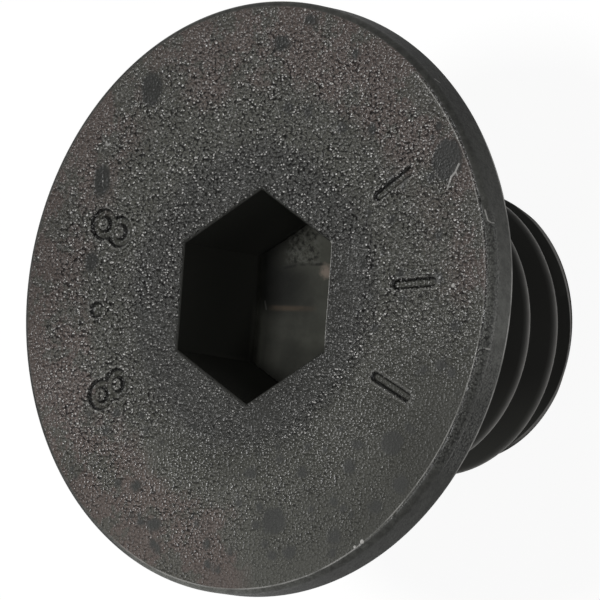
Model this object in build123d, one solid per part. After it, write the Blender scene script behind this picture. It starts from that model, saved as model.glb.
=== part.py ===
"""Countersunk head screw with a hexagon socket, M8 x 10, right-hand coarse thread, fully threaded.

Millimetres, +Z up. The screw stands on the flat end of its thread at Z = 0, head up, with the Z axis
through the middle of the thread and the socket. Two flats of the socket face +X and -X.
"""

from build123d import *

import os
from math import ceil, cos, radians, tan

# Overall
SCREW_LENGTH = 10.0  # end of the thread to the top of the head, as a countersunk screw is measured

# Head
HEAD_DIAMETER = 16.0
HEAD_CONE_ANGLE = 90.0  # whole angle of the cone that seats in the countersink
LAND_HEIGHT = 0.92  # upright rim between the top of the head and the cone
TOP_EDGE_RADIUS = 0.17  # rounding where the land meets the top
LAND_EDGE_RADIUS = 0.12  # rounding where the land meets the cone

# Hexagon socket
SOCKET_FLATS = 5.02  # across the flats, for a 5 mm key
SOCKET_DEPTH = 3.3  # top of the head to the corners of the floor
SOCKET_FLOOR_DIP = 0.45  # how far the coned floor goes down from its corners to its middle
SOCKET_BEVEL = 0.06  # small 45 degree bevel round the mouth

# Thread
THREAD_DIAMETER = 8.0
THREAD_PITCH = 1.25
THREAD_ANGLE = 60.0
CREST_WIDTH_SHARE = 1 / 8  # flat on the crest as a share of the pitch
ROOT_WIDTH_SHARE = 1 / 6  # flat at the root as a share of the pitch
FIRST_CREST = 0.467  # height of the lowest crest over the +X axis
NECK_LENGTH = 0.25  # plain neck between the last of the thread and the cone of the head
RUNOUT_LENGTH = 1.3  # height over which the thread fades out towards that neck
END_CHAMFER = 0.9  # 45 degree chamfer on the end of the thread

# Marks pressed into the top of the head: a plain 8.8 on one side and three bars on the other
MARK_CIRCLE_RADIUS = 5.43
MARK_TURN = 4.0  # degrees by which both groups of marks are turned from the X axis
MARK_HEIGHT = 1.45
MARK_STROKE = 0.24
MARK_DEPTH = 0.1
POINT_DIAMETER = 0.42  # the point between the digits
DIGIT_SPACING = 24.0  # degrees from the point to each 8
BAR_SPACING = 30.0  # degrees from bar to bar
BAR_COUNT = 3

# How far a cutter reaches outside the surface that it cuts through
CUTTER_MARGIN = 0.05

head_radius = HEAD_DIAMETER / 2
land_bottom = SCREW_LENGTH - LAND_HEIGHT
thread_radius = THREAD_DIAMETER / 2
flank_slope = tan(radians(THREAD_ANGLE / 2))
crest_half_gap = THREAD_PITCH * (1 - CREST_WIDTH_SHARE) / 2
root_half_gap = THREAD_PITCH * ROOT_WIDTH_SHARE / 2
root_radius = thread_radius - (crest_half_gap - root_half_gap) / flank_slope
cone_height = (head_radius - thread_radius) / tan(radians(HEAD_CONE_ANGLE / 2))
cone_bottom = land_bottom - cone_height
thread_top = cone_bottom - NECK_LENGTH


def solid_of_revolution(*outline):
    """Turns an outline of (radius, height) points round the Z axis."""
    points = [(radius, 0, height) for radius, height in outline]
    return revolve(make_face(Polyline(*points, close=True)), Axis.Z)


def rim_edge(solid, height):
    """The widest circular edge of a turned solid at this height."""
    level = solid.edges().filter_by(GeomType.CIRCLE).filter_by_position(Axis.Z, height, height)
    return level.sort_by(SortBy.RADIUS)[-1]


def blank():
    """The turned screw before its thread, socket and marks."""
    solid = solid_of_revolution(
        (0, 0),
        (thread_radius - END_CHAMFER, 0),
        (thread_radius, END_CHAMFER),
        (thread_radius, cone_bottom),
        (head_radius, land_bottom),
        (head_radius, SCREW_LENGTH),
        (0, SCREW_LENGTH),
    )
    solid = fillet(rim_edge(solid, SCREW_LENGTH), TOP_EDGE_RADIUS)
    return fillet(rim_edge(solid, land_bottom), LAND_EDGE_RADIUS)


def thread_groove():
    """The groove between the crests, which starts below the end and fades out under the head."""
    outer_radius = thread_radius + CUTTER_MARGIN
    outer_half_gap = crest_half_gap + CUTTER_MARGIN * flank_slope
    start = FIRST_CREST - 1.5 * THREAD_PITCH
    section = make_face(
        Polyline(
            (root_radius, 0, start - root_half_gap),
            (outer_radius, 0, start - outer_half_gap),
            (outer_radius, 0, start + outer_half_gap),
            (root_radius, 0, start + root_half_gap),
            close=True,
        )
    )
    turns = ceil((thread_top - start) / THREAD_PITCH) + 1
    levels = [start + turn * THREAD_PITCH for turn in range(turns)]
    path = [Helix(THREAD_PITCH, THREAD_PITCH, root_radius, center=(0, 0, level)) for level in levels]
    return sweep(section, path=path, is_frenet=True) - runout()


def runout():
    """What the groove leaves standing under the head: a cone that widens to more than the thread."""
    runout_bottom = thread_top - RUNOUT_LENGTH
    return solid_of_revolution(
        (0, runout_bottom),
        (root_radius - CUTTER_MARGIN, runout_bottom),
        (thread_radius + 2 * CUTTER_MARGIN, thread_top),
        (head_radius, thread_top),
        (head_radius, SCREW_LENGTH),
        (0, SCREW_LENGTH),
    )


def socket():
    """The hexagon socket with its coned floor and the bevel round its mouth."""
    corner_radius = SOCKET_FLATS / 2 / cos(radians(30))
    floor_corners = SCREW_LENGTH - SOCKET_DEPTH
    floor_middle = floor_corners - SOCKET_FLOOR_DIP
    hexagon = RegularPolygon(SOCKET_FLATS / 2, 6, major_radius=False, rotation=30)
    prism = extrude(Pos(0, 0, floor_middle) * hexagon, SCREW_LENGTH - floor_middle + CUTTER_MARGIN)
    floor = solid_of_revolution(
        (0, floor_middle),
        (corner_radius, floor_corners),
        (corner_radius, SCREW_LENGTH + CUTTER_MARGIN),
        (0, SCREW_LENGTH + CUTTER_MARGIN),
    )
    mouth = RegularPolygon(SOCKET_FLATS / 2 + SOCKET_BEVEL, 6, major_radius=False, rotation=30)
    bevel = extrude(Pos(0, 0, SCREW_LENGTH) * mouth, -SOCKET_BEVEL, taper=45)
    return (prism & floor) + bevel


def on_mark_circle(mark, angle):
    """A mark drawn with +X as its outward direction, placed on the circle of marks."""
    return Rot(0, 0, angle) * Pos(MARK_CIRCLE_RADIUS, 0) * mark


def digit_eight():
    """A plain 8: two rings that share a stroke, one further out than the other."""
    ring_radius = (MARK_HEIGHT + MARK_STROKE) / 4
    ring = Circle(ring_radius) - Circle(ring_radius - MARK_STROKE)
    offset = ring_radius - MARK_STROKE / 2
    return Pos(offset, 0) * ring + Pos(-offset, 0) * ring


def head_marks():
    """The flat shapes of all marks, in the XY plane."""
    bar = SlotOverall(MARK_HEIGHT, MARK_STROKE)
    point = Circle(POINT_DIAMETER / 2)
    number_side = 180 + MARK_TURN
    shapes = [on_mark_circle(point, number_side)]
    for turn in (-DIGIT_SPACING, DIGIT_SPACING):
        shapes.append(on_mark_circle(digit_eight(), number_side + turn))
    for index in range(BAR_COUNT):
        turn = BAR_SPACING * (index - (BAR_COUNT - 1) / 2)
        shapes.append(on_mark_circle(bar, MARK_TURN + turn))
    return Sketch() + shapes


def screw():
    marks = extrude(Pos(0, 0, SCREW_LENGTH - MARK_DEPTH) * head_marks(), MARK_DEPTH + CUTTER_MARGIN)
    return blank() - thread_groove() - socket() - marks


os.makedirs("parts", exist_ok=True)
export_step(screw(), "parts/screw.step")
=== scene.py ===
"""A black countersunk socket screw that stands on the end of its thread, on a plain white floor.

Lengths are millimetres until a mesh, a light or the camera is made, when MM turns them into metres. Angles
are degrees, and azimuths run from +X towards +Y. Places on the head are (x, y) in the plane of its top.
"""

from itertools import chain
from math import cos, pi, radians, sin, sqrt, tan
from random import Random

import bmesh
import bpy
import numpy as np
from mathutils import Matrix, Vector, noise


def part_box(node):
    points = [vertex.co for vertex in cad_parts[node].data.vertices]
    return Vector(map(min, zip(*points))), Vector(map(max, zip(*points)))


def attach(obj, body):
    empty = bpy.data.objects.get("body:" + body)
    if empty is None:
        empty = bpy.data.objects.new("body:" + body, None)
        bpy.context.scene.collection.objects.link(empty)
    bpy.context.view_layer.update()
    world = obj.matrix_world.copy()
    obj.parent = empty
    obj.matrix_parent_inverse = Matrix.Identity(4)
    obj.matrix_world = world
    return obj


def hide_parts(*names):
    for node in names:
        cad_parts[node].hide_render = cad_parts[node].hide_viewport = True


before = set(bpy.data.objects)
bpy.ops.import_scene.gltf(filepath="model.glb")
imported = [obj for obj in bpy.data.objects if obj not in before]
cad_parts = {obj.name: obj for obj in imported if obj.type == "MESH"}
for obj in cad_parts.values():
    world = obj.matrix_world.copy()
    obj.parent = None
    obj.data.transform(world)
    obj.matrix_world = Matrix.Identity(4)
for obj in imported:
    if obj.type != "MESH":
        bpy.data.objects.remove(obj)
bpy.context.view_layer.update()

MM = 0.001

# --- Sizes, as in the part's source ---
_, box_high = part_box("screw")
HEAD_RADIUS = box_high[0] / MM
HEAD_TOP = box_high[2] / MM
LAND_HEIGHT = 0.92
TOP_EDGE_RADIUS = 0.17
LAND_EDGE_RADIUS = 0.12
THREAD_RADIUS = 4.0
ROOT_RADIUS = 3.233
PITCH = 1.25
CREST_WIDTH = PITCH / 8
ROOT_WIDTH = PITCH / 6
FIRST_CREST = 0.467
NECK_LENGTH = 0.25
RUNOUT_LENGTH = 1.3
RUNOUT_MARGIN = 0.05
END_CHAMFER = 0.9
SOCKET_APOTHEM = 2.51
SOCKET_DEPTH = 3.3
SOCKET_FLOOR_DIP = 0.45
SOCKET_BEVEL = 0.06
MARK_CIRCLE_RADIUS = 5.43
MARK_TURN = 4.0
MARK_HEIGHT = 1.45
MARK_STROKE = 0.24
MARK_DEPTH = 0.1
POINT_RADIUS = 0.21
DIGIT_SPACING = 24.0
BAR_SPACING = 30.0
BAR_COUNT = 3

LAND_BOTTOM = HEAD_TOP - LAND_HEIGHT
CONE_BOTTOM = LAND_BOTTOM - (HEAD_RADIUS - THREAD_RADIUS)
THREAD_TOP = CONE_BOTTOM - NECK_LENGTH
FLANK_WIDTH = (PITCH - CREST_WIDTH - ROOT_WIDTH) / 2
FACE_RADIUS = HEAD_RADIUS - TOP_EDGE_RADIUS
SOCKET_CORNER = SOCKET_APOTHEM / cos(radians(30))
FLOOR_CORNERS = HEAD_TOP - SOCKET_DEPTH  # height of the socket floor in its corners

# --- Wear and marks on the real surface ---
LIP_HEIGHT = 0.016  # metal pushed up beside the marks
UNEVENNESS = 0.012  # slow rise and fall of the pressed face
DISC_RADIUS = 4.1  # round the socket the face is darker and less warm out to here

# Areas of the face, each between two azimuths and two radii, with what it has of something
SMOOTHER = [  # how far the grain is worn off: 1 leaves about a third of it
    (-180, 180, 7.2, 9.0, 0.55),
    (-165, -80, 2.0, 4.1, 0.4),
    (-80, 15, 2.0, 3.6, 0.6),
    (-125, -20, 4.2, 9.0, 0.5),
    (-95, -25, 4.2, 9.0, 0.15),
    (-85, -25, 5.8, 9.0, 0.42),
    (-30, 25, 4.8, 9.0, 0.12),
]
LIGHTER = [  # share by which it is lighter, or darker below 0
    (-180, 180, 2.0, 4.1, -0.23),
    (-80, 30, 2.0, 3.2, -0.12),
    (-170, -90, 5.1, 9.0, 0.15),
    (-150, -112, 6.3, 9.0, 0.1),
    (10, 95, 5.8, 7.2, 0.04),
    (-60, -20, 4.8, 9.0, -0.12),
    (-52, -33, 6.8, 9.0, -0.12),
    (-125, -48, 4.8, 9.0, 0.17),
    (165, 185, 4.8, 9.0, -0.1),
]
BROWN_AREAS = [  # share of the brown stain
    (-180, 180, 6.9, 9.0, 0.6),
    (40, 110, 5.6, 9.0, 1.0),
    (140, 200, 5.8, 9.0, 0.9),
    (-160, -82, 5.6, 9.0, 1.0),
    (-2, 22, 6.0, 9.0, 0.45),
    (-80, -12, 4.5, 9.0, -2.0),
]
AREA_SOFT = 0.35  # how far the edge of an area is spread

# Painted light and shade on the upright land, and painted light and reflection on the rounding above it:
# azimuths, and a factor at each
LAND_PAINTED_LIGHT = (
    (-90, -65, -50, -35, -20, -5, 10, 25, 40, 55),
    (1.0, 1.06, 1.3, 1.2, 1.5, 2.7, 1.85, 1.18, 0.72, 0.5),
)
ROUNDING_PAINTED_LIGHT = (
    (-150, -120, -105, -95, -80, -65, -50, -35, -20, -5, 10, 25, 40, 55, 70),
    (1.2, 3.0, 4.0, 3.5, 2.1, 1.4, 1.3, 1.3, 1.44, 2.2, 1.8, 1.3, 1.0, 1.0, 1.3),
)

# Smooth dark spots on the face: x, y, half width, half height
SPOTS = [
    (-4.03, 5.64, 0.34, 0.44),
    (-5.55, 3.14, 0.27, 0.42),
    (-5.72, 0.94, 0.2, 0.26),
    (6.22, 3.66, 0.48, 0.54),
    (1.31, 7.45, 0.2, 0.12),
    (0.36, 6.83, 0.3, 0.18),
    (0.74, 5.08, 0.16, 0.14),
    (1.43, 5.0, 0.16, 0.14),
    (2.66, 4.54, 0.14, 0.14),
    (2.91, 6.49, 0.1, 0.14),
    (3.65, 4.47, 0.12, 0.16),
    (1.27, -6.03, 0.38, 0.34),
    (0.37, -4.74, 0.16, 0.12),
    (2.11, -4.69, 0.14, 0.12),
    (3.68, -4.53, 0.18, 0.18),
    (3.93, -3.94, 0.2, 0.1),
    (1.9, -6.83, 0.18, 0.16),
    (3.34, -6.4, 0.2, 0.18),
    (5.08, -3.86, 0.34, 0.3),
    (5.43, -4.98, 0.24, 0.2),
    (1.33, -6.92, 0.16, 0.12),
    (4.65, -5.57, 0.2, 0.14),
    (-2.85, -6.2, 0.24, 0.14),
    (-3.56, -5.16, 0.18, 0.14),
    (-2.83, -6.68, 0.12, 0.1),
    (-4.76, -3.66, 0.14, 0.1),
    (6.88, -0.73, 0.18, 0.16),
    (6.51, -1.79, 0.18, 0.14),
    (6.89, -1.97, 0.12, 0.12),
    (6.21, 0.49, 0.14, 0.1),
]
SMALL_SPOTS = 70
SMALL_SPOT_SEED = 5
SMALL_SPOT_AZIMUTHS = (-150, 40)
SMALL_SPOT_RADII = (3.6, 7.6)
SMALL_SPOT_SIZES = (0.04, 0.12)
SPOT_REACH = 0.4  # the spot attribute stops this far from a spot's edge
MARK_REACH = 0.6  # the mark attribute stops this far from a mark's edge

# Chips in the edge between the face and the land: azimuth, radius of the chip, depth
CHIPS = [
    (19.3, 0.12, 0.05),
    (-47.6, 0.09, 0.03),
    (-56.6, 0.11, 0.035),
    (-71.0, 0.07, 0.025),
    (-98.0, 0.07, 0.02),
    (-28.0, 0.08, 0.02),
    (35.0, 0.06, 0.02),
]
CHIP_OUTSIDE = 0.05  # how far outside the face the middle of a chip is


def polar(radius, azimuth):
    return radius * cos(radians(azimuth)), radius * sin(radians(azimuth))


def on_land(azimuth, height):
    """A place on the land, or above it on the rounding to the face."""
    rise = max(height - (HEAD_TOP - TOP_EDGE_RADIUS), 0)
    return *polar(FACE_RADIUS + sqrt(TOP_EDGE_RADIUS**2 - rise**2), azimuth), height


def on_face(x, y):
    return x, y, HEAD_TOP


def floor_height(radius):
    """The height of the coned floor of the socket."""
    return FLOOR_CORNERS - SOCKET_FLOOR_DIP * (1 - radius / SOCKET_CORNER)


def on_floor(x, y):
    return x, y, floor_height(sqrt(x * x + y * y))


# Scratches down to the steel, and one painted highlight: half width, strength, points
SCRATCHES_AND_HIGHLIGHT = [
    (0.022, 0.55, [on_face(6.3, 2.88), on_face(6.4, 3.19), on_face(6.52, 3.32), on_face(6.63, 3.54)]),
    (0.014, 0.5, [on_face(6.54, 3.34), on_face(6.6, 3.24)]),
    (0.02, 0.45, [on_face(-5.5, 4.2), on_face(-5.44, 4.12), on_face(-5.36, 4.16)]),
    (0.014, 0.3, [on_face(5.06, 2.33), on_face(5.2, 2.42)]),
    (0.012, 0.45, [on_land(17.0, 9.97), on_land(14.9, 9.95), on_land(14.5, 9.88), on_land(14.5, 9.75)]),
    (0.018, 0.3, [on_land(46.9, 9.78), on_land(46.1, 9.68)]),
    # a painted highlight where the streak on the socket floor meets the foot of the wall
    (0.014, 0.1, [(-2.3, 0.24, 6.6), (-2.24, 0.02, 6.6)]),
    (0.012, 0.2, [(3.97, -0.49, 3.14), (3.98, -0.49, 3.05)]),
    (0.012, 0.3, [(3.95, -0.63, 1.66), (3.95, -0.63, 1.62)]),
]

# Small bright dots on the face: x, y, radius
DOTS = [
    (6.72, 0.32, 0.045),
    (6.62, 0.22, 0.02),
    (-5.02, 5.1, 0.025),
    (-3.8, 4.49, 0.025),
    (-3.49, 3.93, 0.02),
    (-3.18, 3.49, 0.02),
    (-2.73, 3.45, 0.02),
    (5.36, 3.2, 0.02),
    (1.08, 7.73, 0.025),
    (-5.46, 1.97, 0.02),
    (-5.19, 1.17, 0.02),
    (-5.25, 0.96, 0.02),
    (4.29, -6.5, 0.05),
    (4.06, -6.65, 0.03),
]
CRATER = (-5.16, 5.47, 0.1)  # x, y, radius of a small ring on the face

# --- Camera, lights and floor ---
AIM = Vector((1.62, -0.087, HEAD_TOP))
CAMERA_ELEVATION = 51.21
CAMERA_AZIMUTH = -7.66
CAMERA_ROLL = 10.1
CAMERA_DISTANCE = 237.4
LENS = 534.0
SENSOR = 36.0
NEAREST = 10  # what is nearer to the camera or further away isn't rendered
FURTHEST = 10000

# Lamps: name, azimuth, elevation, distance, size, share of full light
LAMPS = [
    ("key", 180, 82, 200, 42, 0.66),
    ("fill", -20, 38, 200, 60, 0.12),
]
WORLD_FILL = 0.5  # share of the room's white that lights the object
CEILING = 0.14  # the room above the backdrop, as a share of its white
CEILING_FROM = 14  # the elevation at which the backdrop starts to darken
CEILING_WHOLE = 28  # and the elevation from which it is all ceiling

FLOOR_SIZE = 600
FLOOR_DROP = 0.005  # keeps the floor and the end of the thread from lying in one plane
FLOOR_GLOW = 1.07
FLOOR_GLOW_SHARE = 0.87  # share of the floor that is seen as glow, which takes no shadow


def smoothstep(low, high, value):
    """0 below low, 1 above high, and a smooth rise between them."""
    t = np.clip((value - low) / (high - low), 0, 1)
    return t * t * (3 - 2 * t)


# --- The skin of the screw, in rings from the middle of the socket floor out over the head and down ---
FLOOR, WALL, FACE, RIM, CONE, THREAD, END = range(7)

# Points in a ring
SOCKET_COUNT = 180
HEAD_COUNT = 360
THREAD_COUNT = 240

FLOOR_ROWS = 20
WALL_ROWS = 12
INNER_FACE_ROWS = 20
OUTER_FACE_ROWS = 32
LAND_ROWS = 8
CONE_ROWS = 12
ROUND_FROM = 4.6  # radius at which the rings of the face have turned from hexagons into circles
ROUNDING_STEP = 15
CONE_SLOPE = 45  # of the cone under the head, whose height is the same as its width

# Radius and count of the rings on the end of the thread
END_RINGS = [(2.6, 120), (2.0, 60), (1.3, 60), (0.6, 30)]

# Heights of the rows of the thread over one pitch, measured from the middle of a crest
HALF_ROWS = (0.04, 0.07, 0.1, 0.14, 0.24, 0.37, 0.49, 0.56)
CREST_ROUNDING = 0.03
# Heights above the middle of a crest, and the share of bare steel and painted highlight at each
CREST_WEAR = ((-0.1, -0.07, -0.04, 0.0, 0.04, 0.1, 0.14, 0.24), (0, 0.75, 0.52, 0.28, 0.17, 0.05, 0, 0))
# The ridge where the end chamfer cuts the upper flank: its height at +X, and its rise per radian
FLANK_SLOPE = (THREAD_RADIUS - ROOT_RADIUS) / FLANK_WIDTH
RIDGE_HEIGHT = (END_CHAMFER + FLANK_SLOPE * (FIRST_CREST + CREST_WIDTH / 2)) / (1 + FLANK_SLOPE)
RIDGE_RISE = FLANK_SLOPE * PITCH / (2 * pi) / (1 + FLANK_SLOPE)


class Skin:
    """Points in millimetres with the zone that each is in, and the faces."""

    def __init__(self):
        self.points = []
        self.zones = []
        self.faces = []
        self.size = 0

    def add(self, points, zone):
        start = self.size
        self.points.append(points)
        self.zones.append(np.full(len(points), zone))
        self.size += len(points)
        return start

    def join(self, inner, inner_count, outer, outer_count):
        """Faces between two closed rings that start at the same azimuth."""
        if inner_count == outer_count:
            index = np.arange(inner_count)
            after = (index + 1) % inner_count
            quads = np.stack([inner + index, outer + index, outer + after, inner + after], axis=1)
            self.faces.extend(quads.tolist())
            return
        i = j = 0
        while i < inner_count or j < outer_count:
            a, b = inner + i % inner_count, outer + j % outer_count
            if (i + 1) * outer_count <= (j + 1) * inner_count:
                i += 1
                self.faces.append([a, b, inner + i % inner_count])
            else:
                j += 1
                self.faces.append([a, b, outer + j % outer_count])


def turned(radius, height, count, zone):
    """A ring: radius and height may each be one number or one for each point."""
    azimuth = np.arange(count) * 2 * pi / count
    radius = np.broadcast_to(radius, azimuth.shape)
    height = np.broadcast_to(height, azimuth.shape)
    return np.stack([radius * np.cos(azimuth), radius * np.sin(azimuth), height], axis=1), zone


def hexagon(apothem, count):
    """The radius of a hexagon with flats on +X and -X, at each of count azimuths."""
    turn = (np.arange(count) * 360 / count + 30) % 60 - 30
    return apothem / np.cos(np.radians(turn))


def socket_rings():
    """The coned floor and the six walls, up to the bevel at the mouth."""
    wall = hexagon(SOCKET_APOTHEM, SOCKET_COUNT)
    for row in range(1, FLOOR_ROWS + 1):
        every = 6 if row < 5 else 2 if row < 10 else 1
        radius = (wall * row / FLOOR_ROWS)[::every]
        yield turned(radius, floor_height(radius), len(radius), FLOOR)
    foot = floor_height(wall)
    for row in range(1, WALL_ROWS + 1):
        level = foot + (HEAD_TOP - SOCKET_BEVEL - foot) * row / WALL_ROWS
        yield turned(wall, level, SOCKET_COUNT, WALL)


def face_rings():
    """The top of the head, from the bevel round the mouth to its outer edge."""
    mouth = hexagon(SOCKET_APOTHEM + SOCKET_BEVEL, HEAD_COUNT)
    for row in range(INNER_FACE_ROWS + 1):
        radius = mouth + (ROUND_FROM - mouth) * row / INNER_FACE_ROWS
        yield turned(radius, HEAD_TOP, HEAD_COUNT, FACE)
    for row in range(1, OUTER_FACE_ROWS + 1):
        radius = ROUND_FROM + (FACE_RADIUS - ROUND_FROM) * row / OUTER_FACE_ROWS
        yield turned(radius, HEAD_TOP, HEAD_COUNT, FACE)


def rim_rings():
    """The rounded edge, the upright land and the smaller rounding below it."""
    for angle in range(90 - ROUNDING_STEP, -1, -ROUNDING_STEP):
        turn = radians(angle)
        radius = FACE_RADIUS + TOP_EDGE_RADIUS * cos(turn)
        height = HEAD_TOP - TOP_EDGE_RADIUS * (1 - sin(turn))
        yield turned(radius, height, HEAD_COUNT, RIM)
    top = HEAD_TOP - TOP_EDGE_RADIUS
    bottom = LAND_BOTTOM + LAND_EDGE_RADIUS * tan(radians(CONE_SLOPE / 2))
    for row in range(1, LAND_ROWS + 1):
        yield turned(HEAD_RADIUS, top + (bottom - top) * row / LAND_ROWS, HEAD_COUNT, RIM)
    for angle in range(ROUNDING_STEP, CONE_SLOPE + 1, ROUNDING_STEP):
        turn = radians(angle)
        radius = HEAD_RADIUS - LAND_EDGE_RADIUS * (1 - cos(turn))
        yield turned(radius, bottom - LAND_EDGE_RADIUS * sin(turn), HEAD_COUNT, RIM)


def cone_rings():
    """The cone under the head, down to the neck."""
    start = HEAD_RADIUS - LAND_EDGE_RADIUS * (1 - cos(radians(CONE_SLOPE)))
    for row in range(1, CONE_ROWS + 1):
        radius = start + (THREAD_RADIUS - start) * row / CONE_ROWS
        height = CONE_BOTTOM + radius - THREAD_RADIUS
        yield turned(radius, height, HEAD_COUNT if row < CONE_ROWS else THREAD_COUNT, CONE)


def end_rings():
    """The flat end of the thread."""
    for radius, count in [(THREAD_RADIUS - END_CHAMFER, THREAD_COUNT)] + END_RINGS:
        yield turned(radius, 0.0, count, END)


def thread_profile(offset):
    """The radius of the thread at a height above or below the nearest crest, with its corners rounded."""
    total = 0
    samples = (-1, -0.5, 0, 0.5, 1)
    for sample in samples:
        distance = np.abs((offset + sample * CREST_ROUNDING + PITCH / 2) % PITCH - PITCH / 2)
        depth = np.clip((distance - CREST_WIDTH / 2) / FLANK_WIDTH, 0, 1)
        total = total + THREAD_RADIUS - (THREAD_RADIUS - ROOT_RADIUS) * depth
    return total / len(samples)


def thread_radius(azimuth, height):
    """The screw's radius below the cone: the thread, its run-out under the head and its chamfered end."""
    crest = FIRST_CREST + PITCH * azimuth / (2 * pi)
    grooved = thread_profile(height - crest)
    runout_bottom = THREAD_TOP - RUNOUT_LENGTH
    rise = (THREAD_RADIUS + 2 * RUNOUT_MARGIN) - (ROOT_RADIUS - RUNOUT_MARGIN)
    runout = ROOT_RADIUS - RUNOUT_MARGIN + rise * (height - runout_bottom) / RUNOUT_LENGTH
    blank = np.minimum(THREAD_RADIUS, THREAD_RADIUS - END_CHAMFER + height)
    return np.minimum(blank, np.maximum(grooved, runout))


def add_thread(skin):
    """Rows that follow the helix, held between the end of the screw and the cone."""
    offsets = [0.0] + list(HALF_ROWS) + [PITCH / 2] + [PITCH - row for row in reversed(HALF_ROWS)]
    azimuth = np.arange(THREAD_COUNT + 1) * 2 * pi / THREAD_COUNT
    levels = [FIRST_CREST + turn * PITCH - offset for turn in range(6, -4, -1) for offset in offsets]
    rows = []
    for level in levels:
        height = level + PITCH * azimuth / (2 * pi)
        if height.max() < -PITCH / 4 or height.min() > CONE_BOTTOM + PITCH / 4:
            continue
        height = np.clip(height, 0, CONE_BOTTOM)
        radius = thread_radius(azimuth, height)
        points = np.stack([radius * np.cos(azimuth), radius * np.sin(azimuth), height], axis=1)
        rows.append(skin.add(points, THREAD))
    index = np.arange(THREAD_COUNT)
    for upper, lower in zip(rows, rows[1:]):
        quads = np.stack([upper + index, lower + index, lower + index + 1, upper + index + 1], axis=1)
        skin.faces.extend(quads.tolist())


def whole_skin():
    skin = Skin()
    middle = skin.add(np.array([[0, 0, floor_height(0)]]), FLOOR)
    previous = None
    for points, zone in chain(socket_rings(), face_rings(), rim_rings(), cone_rings()):
        start, count = skin.add(points, zone), len(points)
        if previous is None:
            skin.faces.extend([middle, start + i, start + (i + 1) % count] for i in range(count))
        else:
            skin.join(*previous, start, count)
        previous = (start, count)
    add_thread(skin)
    previous = None
    for points, zone in end_rings():
        start, count = skin.add(points, zone), len(points)
        if previous is not None:
            skin.join(*previous, start, count)
        previous = (start, count)
    centre = skin.add(np.zeros((1, 3)), END)
    skin.faces.extend([start + i, centre, start + (i + 1) % count] for i in range(count))
    return skin


# --- What is pressed, worn and stained into the skin ---
def noise_at(points, scale, seed):
    """Smooth noise from about -1 to 1 at each point, with features of about 1 / scale millimetres."""
    shift = Vector((17.3 * seed, 5.1 * seed, -9.7 * seed))
    return np.array([noise.noise(Vector(point) * scale + shift) for point in points])


def mark_distance(x, y):
    """The distance from each point to the edge of the nearest pressed mark, negative inside one."""
    ring = (MARK_HEIGHT + MARK_STROKE) / 4 - MARK_STROKE / 2  # radius of a ring, of which a digit has two
    number_side = 180 + MARK_TURN
    point_x, point_y = polar(MARK_CIRCLE_RADIUS, number_side)
    nearest = np.hypot(x - point_x, y - point_y) - POINT_RADIUS
    for turn in (-DIGIT_SPACING, DIGIT_SPACING):
        for side in (-ring, ring):
            ring_x, ring_y = polar(MARK_CIRCLE_RADIUS + side, number_side + turn)
            distance = np.abs(np.hypot(x - ring_x, y - ring_y) - ring) - MARK_STROKE / 2
            nearest = np.minimum(nearest, distance)
    for bar in range(BAR_COUNT):
        azimuth = MARK_TURN + BAR_SPACING * (bar - (BAR_COUNT - 1) / 2)
        centre_x, centre_y = polar(MARK_CIRCLE_RADIUS, azimuth)
        out_x, out_y = polar(1, azimuth)
        along = (x - centre_x) * out_x + (y - centre_y) * out_y
        across = (y - centre_y) * out_x - (x - centre_x) * out_y
        beyond = np.maximum(np.abs(along) - (MARK_HEIGHT - MARK_STROKE) / 2, 0)
        nearest = np.minimum(nearest, np.hypot(beyond, across) - MARK_STROKE / 2)
    return nearest


def chip_distances(points):
    """How far each point is from the middle of a chip, and the chip's radius and depth, for every chip."""
    for azimuth, size, depth in CHIPS:
        middle = (*polar(FACE_RADIUS + CHIP_OUTSIDE, azimuth), HEAD_TOP)
        yield np.linalg.norm(points - middle, axis=1), size, depth


def detail_distance(points, zones):
    """How far each point is from the edge of the nearest mark or chip."""
    nearest = np.full(len(points), np.inf)
    face = zones == FACE
    nearest[face] = np.abs(mark_distance(*points[face, :2].T))
    for distance, size, _ in chip_distances(points):
        nearest = np.minimum(nearest, distance - size)
    return nearest


def spot_field(x, y):
    """How far inside the nearest smooth dark spot each point is, negative outside."""
    random = Random(SMALL_SPOT_SEED)
    spots = list(SPOTS)
    for _ in range(SMALL_SPOTS):
        azimuth = random.uniform(*SMALL_SPOT_AZIMUTHS)
        radius = random.uniform(*SMALL_SPOT_RADII)
        size = random.uniform(*SMALL_SPOT_SIZES)
        spots.append((*polar(radius, azimuth), size, size))
    field = np.full(len(x), -SPOT_REACH)
    for spot_x, spot_y, half_width, half_height in spots:
        reach = np.hypot((x - spot_x) / half_width, (y - spot_y) / half_height)
        field = np.maximum(field, (1 - reach) * min(half_width, half_height))
    return field


def out_of_surface(points, zones):
    """The direction in which each point may be pushed."""
    radius = np.maximum(np.hypot(points[:, 0], points[:, 1]), 1e-6)
    out = np.stack([points[:, 0] / radius, points[:, 1] / radius, 0 * radius], axis=1)
    up = np.broadcast_to([0.0, 0.0, 1.0], out.shape)
    rounding = (zones == RIM) & (points[:, 2] > HEAD_TOP - TOP_EDGE_RADIUS)
    tilted = (out + up) / np.sqrt(2)
    directions = np.where((zones == RIM)[:, None], out, up)
    return np.where(rounding[:, None], tilted, directions)


def sector(x, y, first, last, soft=15):
    """1 between two azimuths on the head, falling to 0 over soft degrees beyond them."""
    turn = (np.degrees(np.arctan2(y, x)) - (first + last) / 2 + 180) % 360 - 180
    half = (last - first) / 2
    return smoothstep(half + soft, half, np.abs(turn))


def in_areas(x, y, radius, areas):
    """The sum of what the areas have at each point, with soft edges."""
    total = np.zeros(len(x))
    for first, last, inner, outer, share in areas:
        ring = smoothstep(inner - AREA_SOFT, inner + AREA_SOFT, radius)
        ring = ring * smoothstep(outer + AREA_SOFT, outer - AREA_SOFT, radius)
        total += share * ring * sector(x, y, first, last)
    return total


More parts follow.
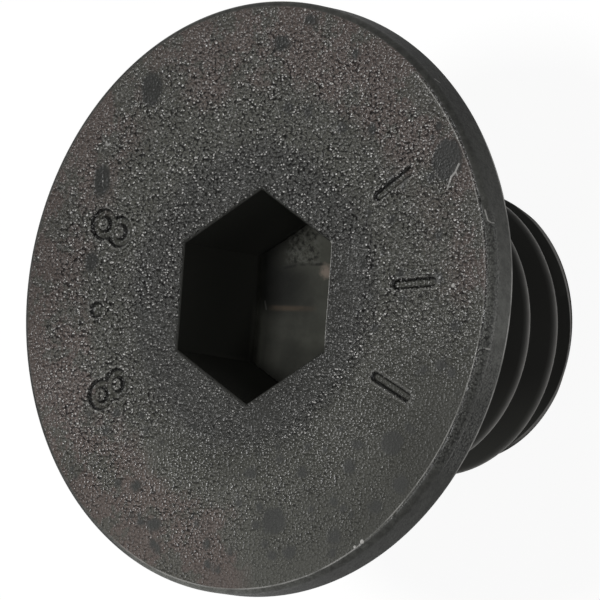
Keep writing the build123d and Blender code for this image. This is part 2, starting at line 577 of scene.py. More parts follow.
def dress_face(points, values, face):
    """The pressed face: its marks, its slow unevenness, and where its grain and its tone change."""
    x, y = points[face, :2].T
    radius = np.hypot(x, y)
    slow = noise_at(points[face], 0.55, 1)
    quick = noise_at(points[face], 2.6, 2)
    wobbly = radius + 0.25 * quick + 0.25 * slow
    edge = mark_distance(x, y)

    values["grain"][face] = np.exp(-in_areas(x, y, wobbly, SMOOTHER))
    values["warm"][face] = smoothstep(DISC_RADIUS - AREA_SOFT, DISC_RADIUS + AREA_SOFT, wobbly)
    values["brown"][face] = in_areas(x, y, wobbly, BROWN_AREAS)
    values["shade"][face] = 1 + in_areas(x, y, radius + 0.1 * quick, LIGHTER)
    values["spot"][face] = spot_field(x, y)
    values["mark"][face] = np.minimum(edge, MARK_REACH)

    rise = UNEVENNESS * (slow + 0.4 * quick) * smoothstep(2.6, 3.2, radius) * smoothstep(7.8, 7.2, radius)
    lip = np.exp(-(((edge - 0.07) / 0.045) ** 2))
    return rise + LIP_HEIGHT * lip - MARK_DEPTH * smoothstep(0.02, -0.055, edge)


def dress_wall(points, values, wall):
    """The walls of the socket, painted lighter towards their foot and on the lower walls, to offset the
    shade deep in the socket.
    """
    x, y, z = points[wall].T
    depth = (HEAD_TOP - z) / SOCKET_DEPTH
    lower_wall = sector(x, y, -149, -91, 2)
    # painted light: lighter with depth, most on the lower walls
    values["shade"][wall] = 0.9 + 0.9 * depth + lower_wall * 2.5 * depth**2


def dress_thread(points, values, thread):
    """The thread, with crests worn bare and painted bright, and painted light that makes it lighter towards
    its two sides.
    """
    x, y, z = points[thread].T
    turn = np.arctan2(y, x) % (2 * pi) / (2 * pi)
    above_crest = (z - FIRST_CREST - PITCH * turn + PITCH / 2) % PITCH - PITCH / 2
    worn_and_lit_share = np.interp(above_crest, *CREST_WEAR)
    values["crest"][thread] = worn_and_lit_share * (np.hypot(x, y) > THREAD_RADIUS - 0.2)
    # painted light: lighter towards -Y, and a little towards +Y
    low_side = smoothstep(-1.0, -2.8, y) + smoothstep(-2.4, -3.9, y)
    values["shade"][thread] = 1 + low_side + 0.25 * smoothstep(2.6, 3.6, y)


def dress_rim(points, values, rim):
    """The land and its roundings, with painted light and shade that change from one azimuth to the next."""
    x, y, z = points[rim].T
    from_top = z - HEAD_TOP
    beside_face = smoothstep(-0.38, -0.26, from_top) * sector(x, y, -30, 14, 5)
    worn_patch = smoothstep(-0.9, -0.75, from_top) * sector(x, y, -31, -14, 6)
    values["rough"][rim] = np.maximum(beside_face, worn_patch)
    values["grain"][rim] = 0.15 + 0.6 * values["rough"][rim]
    azimuth = np.degrees(np.arctan2(y, x))
    rounding = smoothstep(-0.24, -0.12, from_top)
    upright = (1 - rounding) * np.interp(azimuth, *LAND_PAINTED_LIGHT)
    values["shade"][rim] = upright + rounding * np.interp(azimuth, *ROUNDING_PAINTED_LIGHT)


def dress(points, zones):
    """Pushes the skin into its worn shape, and returns the values that the material reads."""
    unworn = {"shade": 1.0, "spot": -SPOT_REACH, "mark": MARK_REACH}
    names = ("grain", "warm", "brown", "crest", "rough", *unworn)
    values = {name: np.full(len(points), unworn.get(name, 0.0)) for name in names}
    for name, zone in (("socket_floor", FLOOR), ("socket_wall", WALL), ("land", RIM)):
        values[name] = (zones == zone).astype(float)
    values["below"] = (zones >= CONE).astype(float)
    dress_wall(points, values, zones == WALL)
    dress_rim(points, values, zones == RIM)
    dress_thread(points, values, zones == THREAD)

    push = np.zeros(len(points))
    push[zones == FACE] = dress_face(points, values, zones == FACE)
    for distance, size, depth in chip_distances(points):
        push -= depth * smoothstep(size, 0.3 * size, distance)
    return points + out_of_surface(points, zones) * push[:, None], values


WELD_WITHIN = 0.002
SHARP_ANGLE = 33.0  # edges that turn further than this are not smoothed
REFINE_WITHIN = (0.22, 0.1)  # the skin is halved within each of these distances of a mark or chip


def new_object(name, data):
    made = bpy.data.objects.new(name, data)
    bpy.context.scene.collection.objects.link(made)
    return made


def add_attribute(mesh, name, numbers):
    attribute = mesh.attributes.new(name, "FLOAT", "POINT")
    attribute.data.foreach_set("value", numbers.astype(np.float32))


def read_skin(work):
    zone_layer = work.verts.layers.float["zone"]
    points = np.array([vert.co for vert in work.verts])
    zones = np.array([vert[zone_layer] for vert in work.verts])
    return points, zones


def make_screw(material):
    skin = whole_skin()
    mesh = bpy.data.meshes.new("screw_skin")
    mesh.from_pydata(np.concatenate(skin.points).tolist(), [], skin.faces)
    add_attribute(mesh, "zone", np.concatenate(skin.zones))

    work = bmesh.new()
    work.from_mesh(mesh)
    bmesh.ops.remove_doubles(work, verts=work.verts, dist=WELD_WITHIN)
    for reach in REFINE_WITHIN:
        near = detail_distance(*read_skin(work)) < reach
        work.verts.index_update()
        edges = [edge for edge in work.edges if all(near[vert.index] for vert in edge.verts)]
        bmesh.ops.subdivide_edges(work, edges=edges, cuts=1, use_grid_fill=True, use_single_edge=True)
    many_sided = [part for part in work.faces if len(part.verts) > 4]
    bmesh.ops.triangulate(work, faces=many_sided)

    points, values = dress(*read_skin(work))
    for vert, point in zip(work.verts, points * MM):
        vert.co = point
    for edge in work.edges:
        edge.smooth = not (edge.is_manifold and edge.calc_face_angle(0) > radians(SHARP_ANGLE))
    for part in work.faces:
        part.smooth = True
    work.to_mesh(mesh)
    work.free()
    for name, numbers in values.items():
        add_attribute(mesh, name, numbers)
    mesh.materials.append(material)
    screw = new_object("dressed_screw", mesh)
    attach(screw, "root")
    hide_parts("screw")


# --- Materials ---
class Nodes:
    """Short ways to add nodes to a material."""

    def __init__(self, tree):
        self.tree = tree
        tree.nodes.clear()

    def add(self, kind, **settings):
        made = self.tree.nodes.new("ShaderNode" + kind)
        for name, value in settings.items():
            setattr(made, name, value)
        return made

    def feed(self, socket, value):
        """Joins an output to a socket, or sets the socket to a number, a vector or a colour."""
        if isinstance(value, bpy.types.NodeSocket):
            self.tree.links.new(value, socket)
        else:
            socket.default_value = (*value, 1) if socket.type == "RGBA" else value

    def output(self, kind, shader):
        self.feed(self.add("Output" + kind).inputs["Surface"], shader.outputs[0])

    def apart(self, vector):
        """The coordinates of a vector."""
        made = self.add("SeparateXYZ")
        self.feed(made.inputs[0], vector)
        return made.outputs

    def math(self, operation, *values, clamp=False):
        made = self.add("Math", operation=operation, use_clamp=clamp)
        for socket, value in zip(made.inputs, values):
            self.feed(socket, value)
        return made.outputs[0]

    def fold(self, operation, values):
        total = values[0]
        for value in values[1:]:
            total = self.math(operation, total, value)
        return total

    def plus(self, *values):
        return self.fold("ADD", values)

    def minus(self, first, second):
        return self.math("SUBTRACT", first, second)

    def times(self, *values):
        return self.fold("MULTIPLY", values)

    def most(self, *values):
        return self.fold("MAXIMUM", values)

    def squared(self, value):
        return self.times(value, value)

    def without(self, value):
        return self.math("SUBTRACT", 1.0, value, clamp=True)

    def vector(self, operation, *values):
        made = self.add("VectorMath", operation=operation)
        for socket, value in zip(made.inputs, values):
            self.feed(socket, value)
        return made.outputs["Value" if operation in ("DISTANCE", "DOT_PRODUCT") else "Vector"]

    def scaled(self, value, scale):
        made = self.add("VectorMath", operation="SCALE")
        self.feed(made.inputs[0], value)
        self.feed(made.inputs["Scale"], scale)
        return made.outputs["Vector"]

    def attribute(self, name):
        return self.add("Attribute", attribute_name=name).outputs["Fac"]

    def steps(self, value, low, high, bottom=0.0, top=1.0):
        """bottom at low, top at high, held outside them and smooth between."""
        made = self.add("MapRange", interpolation_type="SMOOTHSTEP")
        settings = {"Value": value, "From Min": low, "From Max": high, "To Min": bottom, "To Max": top}
        for name, number in settings.items():
            self.feed(made.inputs[name], number)
        return made.outputs[0]

    def band(self, value, middle, half_width, soft):
        """1 within half_width of middle, falling to 0 over soft."""
        away = self.math("ABSOLUTE", self.minus(value, middle))
        return self.steps(away, half_width, half_width + soft, 1.0, 0.0)

    def mix(self, first, second, *shares):
        """first, with second mixed into it by the product of the shares."""
        made = self.add("Mix", data_type="RGBA")
        self.feed(made.inputs["Factor"], self.times(*shares))
        colours = [socket for socket in made.inputs if socket.type == "RGBA"]
        self.feed(colours[0], first)
        self.feed(colours[1], second)
        return [socket for socket in made.outputs if socket.type == "RGBA"][0]

    def noise(self, place, scale, detail, roughness=0.5, output="Fac"):
        made = self.add("TexNoise")
        self.feed(made.inputs["Vector"], place)
        for name, number in (("Scale", scale), ("Detail", detail), ("Roughness", roughness)):
            self.feed(made.inputs[name], number)
        return made.outputs[output]

    def drift(self, place, scale, reach):
        """place, shifted by smooth noise by up to about half of reach."""
        return self.vector("ADD", place, self.scaled(self.noise(place, scale, 0.0, output="Color"), reach))

    def cells(self, place, scale, smoothness=0.0):
        """Round cells in the plane of the first two coordinates: the distance to a middle, and a tone."""
        feature = "SMOOTH_F1" if smoothness else "F1"
        made = self.add("TexVoronoi", feature=feature, voronoi_dimensions="2D")
        self.feed(made.inputs["Vector"], place)
        self.feed(made.inputs["Scale"], scale)
        if smoothness:
            self.feed(made.inputs["Smoothness"], smoothness)
        return made.outputs["Distance"], made.outputs["Color"]

    def line(self, place, points, half_width, soft):
        """1 along a line through points and 0 away from it."""
        nearest = None
        for start, end in zip(points, points[1:]):
            start, end = Vector(start), Vector(end)
            length = (end - start).length
            towards = (end - start) / length
            offset = self.vector("SUBTRACT", place, start)
            along = self.vector("DOT_PRODUCT", offset, towards)
            along = self.math("MINIMUM", self.math("MAXIMUM", along, 0.0), length)
            distance = self.vector("DISTANCE", offset, self.scaled(towards, along))
            nearest = distance if nearest is None else self.math("MINIMUM", nearest, distance)
        return self.steps(nearest, half_width, half_width + soft, 1.0, 0.0)


# Colours in linear light
CHARCOAL = (0.049, 0.0493, 0.0448)
OLIVE = (0.0495, 0.0497, 0.0412)
BROWN = (0.068, 0.0535, 0.0465)
SPOT_DARK = (0.022, 0.0227, 0.0205)
# near black for crevices and cracks, and for painted shade and dark lines beside the edges of the land
CREVICE_AND_SHADE = (0.008, 0.008, 0.0075)
LAND_DARK = (0.036, 0.0365, 0.0335)
THREAD_BLACK = (0.0235, 0.0236, 0.0215)
WALL_BLACK = (0.024, 0.0245, 0.0215)
# painted shadow on the socket floor
FLOOR_SHADOW = (0.0105, 0.011, 0.0092)
FLOOR_PALE = (0.045, 0.046, 0.038)
# pale colour of the torn patch, also used as painted light at the foot of the lower wall
FLOOR_TORN_AND_FOOT_LIGHT = (0.11, 0.11, 0.1)
# painted reflection: the orange-brown streak that the turned socket floor mirrors
STREAK_SHEEN = (0.062, 0.047, 0.033)
RUST_PALE = (0.21, 0.17, 0.14)
# bare steel where the oxide is worn off, and the colour of painted highlights and glints
BARE_STEEL_AND_HIGHLIGHT = (0.5, 0.49, 0.47)
WHITE = (1, 1, 1)
PAPER = (0.8, 0.8, 0.8)

# Noise: features per millimetre, detail, roughness
FINE = (24.0, 2.0, 0.6)
RIPPLE = (14.5, 1.0, 0.5)
MOTTLE = (4.5, 2.0, 0.55)
PATCH = (1.2, 2.0, 0.55)
BLOTCH = (0.7, 3.0, 0.6)
FLOOR_BLOTCH = (1.6, 3.0, 0.6)
FLOOR_TEAR = (8.0, 2.0, 0.6)

GRAIN_SCALE = 12.5  # domes per millimetre
GRAIN_SMOOTHNESS = 0.2  # how far the domes run into each other
GRAIN_STRETCH = (0.92, 1.18)  # the domes are a little longer along X than along Y
GRAIN_DRIFT = 0.07  # how far the domes are pulled out of shape, which makes short worms of them
DRIFT_SCALE = 11.0
GRAIN_HEIGHT = 0.038
RIPPLE_HEIGHT = 0.034
MOTTLE_HEIGHT = 0.006
FINE_HEIGHT = 0.003
DOME_HIGHLIGHT = 0.45  # painted highlight: how much lighter the top of a dome is than the mean
GAP_SHADE = 0.76  # painted shade: how much darker the gap between domes is
RIM_SHADE = 0.88  # the same painted shade right round the brightest domes
SPOT_SMOOTH = 0.76  # share of the grain that a dark spot takes away
MARK_SMOOTH = 0.5  # the same inside a mark
LOW_SIDE = (-4.6, -3.4)  # y at which the grain is low and dull, and at which it is whole
SPECK_SCALE = 1.5  # cells per millimetre, of which some have a painted glint

# Lines on the skin: where the middle is, half the width, and how far the edge is spread
MARK_CREVICE = (-0.015, 0.022, 0.03)  # from the edge of a mark
MARK_LIP = (0.06, 0.015, 0.04)
CRATER_RING = (CRATER[2], 0.01, 0.03)  # radii
FACE_EDGE = (FACE_RADIUS, 0.011, 0.012)
BELOW_FACE_EDGE = (FACE_RADIUS + 0.06, 0.018, 0.012)
LAND_EDGE = (LAND_BOTTOM + 0.035, 0.018, 0.02)  # heights
SECOND_LINE = (HEAD_TOP - 0.28, 0.01, 0.02)
RIDGE_LINE = (0.01, 0.015, 0.015)
MOUTH_EDGE = (SOCKET_APOTHEM + 0.02, 0.035, 0.02)  # x
MOUTH_LENGTH = (0.1, 1.35, 0.1)  # y

# The same in the socket, and what else is on its floor, among it a painted reflection streak and painted
# light at the foot of the wall, in x and y
STREAK_WIDTH = (0.06, 0.02, 0.09)
STREAK_LENGTH = (-1.45, 0.45, 0.4)
TORN_PATCH = (-1.1, 0.3, 0.4)
PALE_FOOT = (0.5, -0.1)  # painted light: y at which the foot of the lower wall starts to pale, and at which it is pale
RUSTY_SPOT = on_floor(-0.38, 1.07)
TORN_EDGE = [on_floor(-1.75, 1.15), on_floor(-1.25, 1.25), on_floor(-0.5, 1.27)]


class Surface:
    """Where a point of the screw is, what its skin says of it, and the noise that its looks share."""

    def __init__(self, nodes):
        self.place = nodes.scaled(nodes.add("TexCoord").outputs["Object"], 1 / MM)
        self.x, self.y, self.height = nodes.apart(self.place)
        self.radius = nodes.math("SQRT", nodes.plus(nodes.squared(self.x), nodes.squared(self.y)))
        self.land = nodes.attribute("land")
        self.below = nodes.attribute("below")
        self.wall = nodes.attribute("socket_wall")
        self.floor = nodes.attribute("socket_floor")
        self.shade = nodes.attribute("shade")
        self.grainy = nodes.attribute("grain")
        self.mark = nodes.attribute("mark")
        self.fine = nodes.noise(self.place, *FINE)
        self.mottle = nodes.noise(self.place, *MOTTLE)
        self.patch = nodes.noise(self.place, *PATCH)
        self.ragged = nodes.times(nodes.minus(self.mottle, 0.5), 0.24)
        self.spot = nodes.steps(nodes.plus(nodes.attribute("spot"), self.ragged), -0.1, 0.05)


class Grain:
    """Small domes run together into short worms, with dark gaps, and how strong they are."""

    def __init__(self, nodes, skin):
        unrolled = nodes.add("CombineXYZ")
        nodes.feed(unrolled.inputs["X"], nodes.times(nodes.minus(skin.x, skin.height), GRAIN_STRETCH[0]))
        nodes.feed(unrolled.inputs["Y"], nodes.times(skin.y, GRAIN_STRETCH[1]))
        drift = nodes.drift(unrolled.outputs[0], DRIFT_SCALE, GRAIN_DRIFT)
        self.distance, self.tone = nodes.cells(drift, GRAIN_SCALE, GRAIN_SMOOTHNESS)
        self.ripple = nodes.noise(skin.place, *RIPPLE)
        self.gap = nodes.steps(nodes.plus(self.distance, nodes.times(self.ripple, -0.8)), -0.03, 0.4)
        in_mark = nodes.steps(skin.mark, -0.05, 0.0, 1.0, 0.0)
        self.amount = nodes.times(
            skin.grainy,
            nodes.without(nodes.times(skin.spot, SPOT_SMOOTH)),
            nodes.without(nodes.times(in_mark, MARK_SMOOTH)),
            nodes.steps(skin.patch, 0.3, 0.65, 0.75, 1.15),
        )


def grain_light_and_shade(nodes, skin, grain):
    """The share of its colour that the grain has: above 1 on a dome, a painted highlight, and below it in a
    gap, painted shade.
    """
    dome = nodes.steps(nodes.plus(grain.distance, nodes.times(grain.ripple, -0.4)), 0.25, -0.05)
    rim = nodes.times(nodes.steps(grain.tone, 0.6, 0.75), nodes.band(grain.distance, 0.52, 0.05, 0.12))
    dark = nodes.most(nodes.times(grain.gap, GAP_SHADE), nodes.times(rim, RIM_SHADE))
    dark = nodes.times(dark, nodes.steps(skin.y, -6.0, -4.0, 1.8, 1.0))
    lightness = nodes.minus(nodes.times(dome, DOME_HIGHLIGHT), dark)
    return nodes.plus(1.0, nodes.times(lightness, grain.amount))


def grain_normal(nodes, skin, grain):
    """The relief of the grain and of what is finer and coarser than it."""
    worn_low = nodes.steps(skin.y, *LOW_SIDE, 0.66, 1.0)
    bump = nodes.add("Bump")
    nodes.feed(bump.inputs["Strength"], 1.0)
    nodes.feed(bump.inputs["Distance"], MM)
    nodes.feed(bump.inputs["Height"], nodes.plus(
        nodes.times(nodes.squared(grain.distance), grain.amount, worn_low, -GRAIN_HEIGHT),
        nodes.times(grain.ripple, grain.amount, worn_low, RIPPLE_HEIGHT),
        nodes.times(skin.mottle, MOTTLE_HEIGHT, skin.grainy),
        nodes.times(skin.fine, FINE_HEIGHT),
    ))
    return bump.outputs["Normal"]


def face_colour(nodes, skin):
    """The pressed face, with its brown stains, its dark spots and the lines along its marks."""
    blotch = nodes.plus(nodes.noise(skin.place, *BLOTCH), nodes.times(nodes.minus(skin.mottle, 0.5), 0.3))
    colour = nodes.mix(CHARCOAL, OLIVE, nodes.attribute("warm"))
    colour = nodes.mix(colour, BROWN, nodes.attribute("brown"), nodes.steps(blotch, 0.42, 0.54, 0.1, 1.0))
    colour = nodes.scaled(colour, skin.shade)
    right_spot = nodes.times(nodes.steps(skin.x, 4.0, 6.0), nodes.steps(skin.y, 0.5, 2.0), 0.15)
    spot_tone = nodes.times(nodes.steps(skin.y, -3.5, 2.5, 1.38, 0.87), nodes.without(right_spot))
    colour = nodes.mix(colour, nodes.scaled(SPOT_DARK, spot_tone), skin.spot)
    colour = nodes.mix(colour, BARE_STEEL_AND_HIGHLIGHT, nodes.band(skin.mark, *MARK_LIP), 0.1)
    colour = nodes.mix(colour, CREVICE_AND_SHADE, nodes.band(skin.mark, *MARK_CREVICE), 0.9)
    crater = nodes.vector("DISTANCE", skin.place, on_face(*CRATER[:2]))
    return nodes.mix(colour, BARE_STEEL_AND_HIGHLIGHT, nodes.band(crater, *CRATER_RING), 0.12)


def socket_floor_colour(nodes, skin):
    """The floor of the socket: greenish grey, with painted shadow from the walls, painted light in its
    corner by the left wall, a painted reflection streak, rust and a torn patch.
    """
    x, y = skin.x, skin.y
    blotch = nodes.noise(skin.place, *FLOOR_BLOTCH)
    torn = nodes.noise(skin.place, *FLOOR_TEAR)
    upper = nodes.steps(y, 0.75, 1.5, 0.0, 0.85)
    # painted shadow of the walls over the left and upper part of the floor
    wall_shadow = nodes.times(
        nodes.steps(nodes.plus(x, upper), -0.1, -1.8),
        nodes.steps(y, -0.45, 0.35, 0.1, 1.0),
        nodes.steps(x, -2.48, -2.3, 0.3, 1.0),
    )
    low = nodes.times(nodes.steps(y, -0.7, -1.2), nodes.steps(x, -2.0, -1.2), 0.4)
    # painted light in the corner by the left wall
    foot = nodes.times(nodes.steps(x, -2.15, -2.4), nodes.steps(y, *PALE_FOOT))
    grey = nodes.mix(FLOOR_PALE, FLOOR_SHADOW, wall_shadow)
    grey = nodes.scaled(grey, nodes.without(low))
    # painted shade, darker towards the left wall
    grey = nodes.scaled(grey, nodes.steps(x, -2.0, -0.5, 0.78, 1.14))
    grey = nodes.scaled(grey, nodes.plus(1.0, foot))
    grey = nodes.scaled(grey, nodes.steps(blotch, 0.3, 0.7, 0.85, 1.2))

    # painted reflection: an orange-brown streak along the floor
    streak = nodes.times(
        nodes.band(y, *STREAK_WIDTH),
        nodes.band(x, *STREAK_LENGTH),
        nodes.steps(blotch, 0.35, 0.6, 0.5, 1.0),
    )
    grey = nodes.mix(grey, STREAK_SHEEN, streak, 0.8)
    rusty = nodes.plus(
        nodes.vector("DISTANCE", skin.place, RUSTY_SPOT),
        nodes.times(nodes.minus(torn, 0.5), 0.25),
    )
    grey = nodes.mix(grey, RUST_PALE, nodes.steps(rusty, 0.05, 0.28, 0.85, 0.0))
    patch = nodes.times(nodes.steps(y, 1.2, 1.35), nodes.band(x, *TORN_PATCH))
    grey = nodes.mix(grey, FLOOR_TORN_AND_FOOT_LIGHT, patch, nodes.steps(torn, 0.53, 0.6), 0.42)
    grey = nodes.mix(grey, CREVICE_AND_SHADE, patch, nodes.steps(torn, 0.46, 0.4), 0.75)
    edge = nodes.line(skin.place, TORN_EDGE, 0.01, 0.05)
    return nodes.mix(grey, CREVICE_AND_SHADE, edge, nodes.steps(skin.mottle, 0.3, 0.6), 0.7)


def oxide_colour(nodes, skin, grain):
    """The colour of the screw all over, before its edges are worn."""
    # painted light and shade of the land, from the shade attribute, with a mottle
    land_light = nodes.times(skin.shade, nodes.steps(skin.mottle, 0.3, 0.7, 0.8, 1.2))
    colour = nodes.mix(face_colour(nodes, skin), nodes.scaled(LAND_DARK, land_light), skin.land)
    colour = nodes.scaled(colour, grain_light_and_shade(nodes, skin, grain))
    colour = nodes.mix(colour, nodes.scaled(THREAD_BLACK, skin.shade), skin.below)
    colour = nodes.mix(colour, nodes.scaled(WALL_BLACK, skin.shade), skin.wall)
    # painted light at the foot of the lower wall, in a pale floor colour
    foot = nodes.times(
        nodes.steps(skin.height, FLOOR_CORNERS + 0.12, FLOOR_CORNERS - 0.05),
        nodes.steps(skin.x, -2.3, -2.45),
        nodes.steps(skin.y, *PALE_FOOT),
        skin.wall,
    )
    colour = nodes.mix(colour, FLOOR_TORN_AND_FOOT_LIGHT, foot, 0.7)
    return nodes.mix(colour, socket_floor_colour(nodes, skin), skin.floor)


def edge_wear_and_highlights(nodes, skin, colour):
    """colour with painted shade and dark lines beside the edges of the land, and how bright the edges are:
    worn bare steel and painted highlights.
    """
    x, y, height, land = skin.x, skin.y, skin.height, skin.land
    beside_thread = nodes.steps(x, 6.2, 6.9)
    along_edge = nodes.times(nodes.steps(x, -5.0, -3.0), nodes.steps(y, 6.6, 5.0))
    from_edge = nodes.plus(skin.radius, nodes.steps(y, -5.0, -7.7, 0.065, -0.03))
    # a painted dark outline along the bottom of the land
    painted_outline = nodes.times(
        nodes.steps(height, LAND_BOTTOM + 0.05, LAND_BOTTOM),
        land,
        nodes.without(beside_thread),
    )
    # painted shade on the rounding where it faces -X
    far_side_shade = nodes.times(
        nodes.steps(skin.radius, FACE_RADIUS + 0.07, FACE_RADIUS + 0.1),
        nodes.steps(x, -3.0, -4.5),
    )
    # painted shade in a band just below the edge of the face
    below_edge_shade = nodes.times(nodes.band(from_edge, *BELOW_FACE_EDGE), nodes.steps(y, -6.5, -4.0))
    colour = nodes.mix(colour, CREVICE_AND_SHADE, painted_outline, 0.8)
    colour = nodes.mix(colour, CREVICE_AND_SHADE, far_side_shade, 0.95)
    colour = nodes.mix(colour, CREVICE_AND_SHADE, below_edge_shade, along_edge, 0.8)

    broken = nodes.steps(skin.patch, 0.35, 0.6, 0.3, 1.0)
    # the crests: worn bare steel and a painted highlight
    crest = nodes.times(nodes.attribute("crest"), nodes.steps(skin.patch, 0.3, 0.6, 0.7, 1.1))
    # a painted highlight along the bottom edge of the land beside the thread
    land_edge_highlight = nodes.times(nodes.band(height, *LAND_EDGE), land, beside_thread, broken, 0.6)
    # a bright line along the edge of the face, wear and a painted highlight
    face_edge = nodes.times(nodes.band(from_edge, *FACE_EDGE), along_edge, broken, 0.42)
    face_edge = nodes.times(face_edge, nodes.steps(height, HEAD_TOP - 0.5, HEAD_TOP - 0.3))
    second_line = nodes.times(nodes.band(height, *SECOND_LINE), land, nodes.attribute("rough"), broken, 0.15)
    # a painted highlight along the edge of the socket's mouth on the +X side
    mouth = nodes.times(
        nodes.band(nodes.plus(x, nodes.times(skin.ragged, 0.3)), *MOUTH_EDGE),
        nodes.band(y, *MOUTH_LENGTH),
        nodes.steps(height, HEAD_TOP - 0.15, HEAD_TOP - 0.07),
        nodes.steps(skin.mottle, 0.4, 0.55, 0.3, 1.0),
    )
    turn = nodes.math("ARCTAN2", y, x)
    above_ridge = nodes.minus(height, nodes.plus(RIDGE_HEIGHT, nodes.times(turn, RIDGE_RISE)))
    ridge = nodes.times(nodes.band(above_ridge, *RIDGE_LINE), skin.below, nodes.steps(x, 1.5, 2.5), 0.6)
    return colour, nodes.most(crest, ridge, land_edge_highlight, face_edge, second_line, mouth)


def glints_and_small_marks(nodes, skin, grain):
    """How bright the surface is: painted glints on the brightest domes and in specks, and bare steel under
    the scratches and dots, with one painted highlight among the scratches.
    """
    # painted glints on the brightest domes
    bare = nodes.times(
        nodes.steps(grain.tone, 0.68, 0.9),
        nodes.steps(grain.distance, 0.42, 0.05),
        grain.amount,
        grain.amount,
        nodes.without(nodes.times(skin.land, 0.8)),
        nodes.steps(skin.y, *LOW_SIDE, 1.2, 1.6),
    )
    # painted glints in some of these cells
    distance, tone = nodes.cells(skin.place, SPECK_SCALE)
    chosen = nodes.times(nodes.steps(tone, 0.62, 0.64), nodes.steps(skin.grainy, 0.6, 0.8))
    bare = nodes.most(bare, nodes.times(nodes.steps(distance, 0.02, 0.05, 0.7, 0.0), chosen))
    for half_width, strength, points in SCRATCHES_AND_HIGHLIGHT:
        line = nodes.line(skin.place, points, half_width, 0.015)
        bare = nodes.most(bare, nodes.times(line, strength))
    for x, y, size in DOTS:
        distance = nodes.vector("DISTANCE", skin.place, on_face(x, y))
        bare = nodes.most(bare, nodes.steps(distance, size, size + 0.02, 0.8, 0.0))
    return bare


def oxide_roughness(nodes, skin, grain):
    smooth = nodes.steps(skin.fine, 0.3, 0.7, 0.34, 0.42)
    off_face = nodes.most(skin.floor, skin.wall, skin.land, skin.below)
    return nodes.plus(nodes.minus(smooth, nodes.times(grain.amount, 0.14)), nodes.times(off_face, 0.2))


def oxide_gloss(nodes, skin, grain):
    """How strongly the surface mirrors: most on the domes of the face, and least in the socket."""
    matt = nodes.most(
        skin.floor,
        skin.wall,
        nodes.times(grain.gap, grain.amount, 0.8),
        nodes.times(skin.below, 0.75),
        nodes.times(skin.land, 0.85),
    )
    off_head = nodes.most(skin.floor, skin.wall, skin.below)
    head_shade = nodes.plus(off_head, nodes.times(nodes.without(off_head), skin.shade))
    return nodes.times(nodes.steps(matt, 0, 1, 0.48, 0.08), head_shade)


def new_material(name):
    material = bpy.data.materials.new(name)
    material.use_nodes = True
    return material, Nodes(material.node_tree)


def black_oxide():
    material, nodes = new_material("black_oxide")
    skin = Surface(nodes)
    grain = Grain(nodes, skin)
    colour, bare = edge_wear_and_highlights(nodes, skin, oxide_colour(nodes, skin, grain))
    bare = nodes.most(bare, glints_and_small_marks(nodes, skin, grain))
    shader = nodes.add("BsdfPrincipled")
    # bare holds worn steel and also painted highlights and glints
    nodes.feed(shader.inputs["Base Color"], nodes.mix(colour, BARE_STEEL_AND_HIGHLIGHT, bare))
    nodes.feed(shader.inputs["Roughness"], oxide_roughness(nodes, skin, grain))
    nodes.feed(shader.inputs["Specular IOR Level"], oxide_gloss(nodes, skin, grain))
    nodes.feed(shader.inputs["Normal"], grain_normal(nodes, skin, grain))
    nodes.output("Material", shader)
    return material


def seen(nodes):
    """1 for what the camera, a reflection or a transmission sees, and 0 for the rest of the light."""
    path = nodes.add("LightPath")
    return nodes.most(*(path.outputs[f"Is {kind} Ray"] for kind in ("Camera", "Glossy", "Transmission")))


def floor_material():
    """White paper that keeps part of the shadow."""
    material, nodes = new_material("white_floor")
    paper = nodes.add("BsdfDiffuse")
    nodes.feed(paper.inputs["Color"], PAPER)
    glow = nodes.add("Emission")
    nodes.feed(glow.inputs["Strength"], FLOOR_GLOW)
    both = nodes.add("MixShader")
    nodes.feed(both.inputs[0], nodes.times(seen(nodes), FLOOR_GLOW_SHARE))
    nodes.feed(both.inputs[1], paper.outputs[0])
    nodes.feed(both.inputs[2], glow.outputs[0])
    nodes.output("Material", both)
    return material


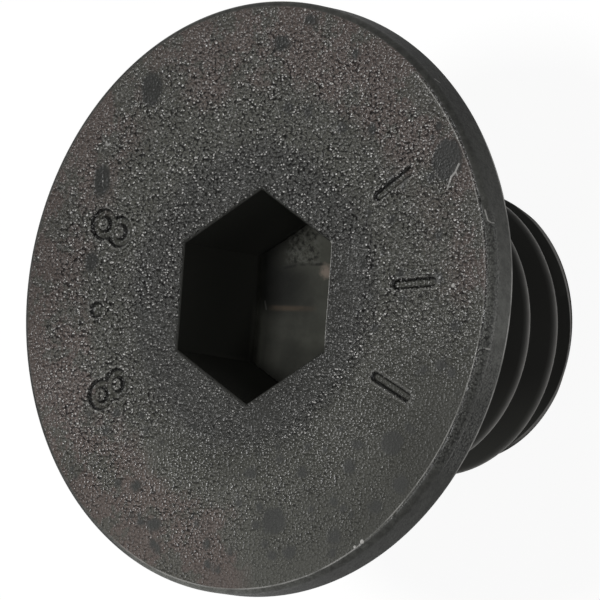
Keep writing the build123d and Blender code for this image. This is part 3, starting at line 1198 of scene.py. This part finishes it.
def white_world():
    """A room with a white backdrop all round and a darker ceiling, where the lamps hang."""
    world = bpy.data.worlds.new("white_room")
    world.use_nodes = True
    nodes = Nodes(world.node_tree)
    rise = nodes.apart(nodes.add("TexCoord").outputs["Generated"])["Z"]
    backdrop = nodes.steps(rise, sin(radians(CEILING_FROM)), sin(radians(CEILING_WHOLE)), 1.0, CEILING)
    room = nodes.add("Background")
    nodes.feed(room.inputs["Color"], WHITE)
    strength = nodes.times(backdrop, nodes.steps(seen(nodes), 0, 1, WORLD_FILL, 1.0))
    nodes.feed(room.inputs["Strength"], strength)
    nodes.output("World", room)
    bpy.context.scene.world = world


# --- Floor, lights and camera ---
def add_floor():
    half = FLOOR_SIZE / 2 * MM
    level = -FLOOR_DROP * MM
    mesh = bpy.data.meshes.new("floor")
    corners = [(x, y, level) for x, y in ((-half, -half), (half, -half), (half, half), (-half, half))]
    mesh.from_pydata(corners, [], [(0, 1, 2, 3)])
    mesh.materials.append(floor_material())
    floor = new_object("floor", mesh)


def direction(azimuth, elevation):
    return Vector((*polar(cos(radians(elevation)), azimuth), sin(radians(elevation))))


def softbox(name, azimuth, elevation, distance, size, irradiance):
    """A square lamp that aims at the head and gives it this share of full light."""
    data = bpy.data.lights.new(name, "AREA")
    data.shape = "SQUARE"
    data.size = size * MM
    data.energy = irradiance * pi * pi * (distance * MM) ** 2
    lamp = new_object(name, data)
    towards = direction(azimuth, elevation)
    lamp.location = Vector((0, 0, HEAD_TOP * MM)) + towards * distance * MM
    lamp.rotation_euler = towards.to_track_quat("Z", "Y").to_euler()


def add_camera():
    data = bpy.data.cameras.new("camera")
    data.lens = LENS
    data.sensor_width = SENSOR
    data.clip_start = NEAREST * MM
    data.clip_end = FURTHEST * MM
    towards = direction(CAMERA_AZIMUTH, CAMERA_ELEVATION)
    side = direction(CAMERA_AZIMUTH + 90, 0)
    across = side.cross(towards)
    roll = radians(CAMERA_ROLL)
    right = cos(roll) * across + sin(roll) * side
    up = towards.cross(right)
    axes = Matrix((right, up, towards)).transposed().to_4x4()
    camera = new_object("camera", data)
    camera.matrix_world = Matrix.Translation((AIM + towards * CAMERA_DISTANCE) * MM) @ axes
    bpy.context.scene.camera = camera


make_screw(black_oxide())
add_floor()
white_world()
for lamp in LAMPS:
    softbox(*lamp)
add_camera()
bpy.context.scene.view_settings.view_transform = "Standard"
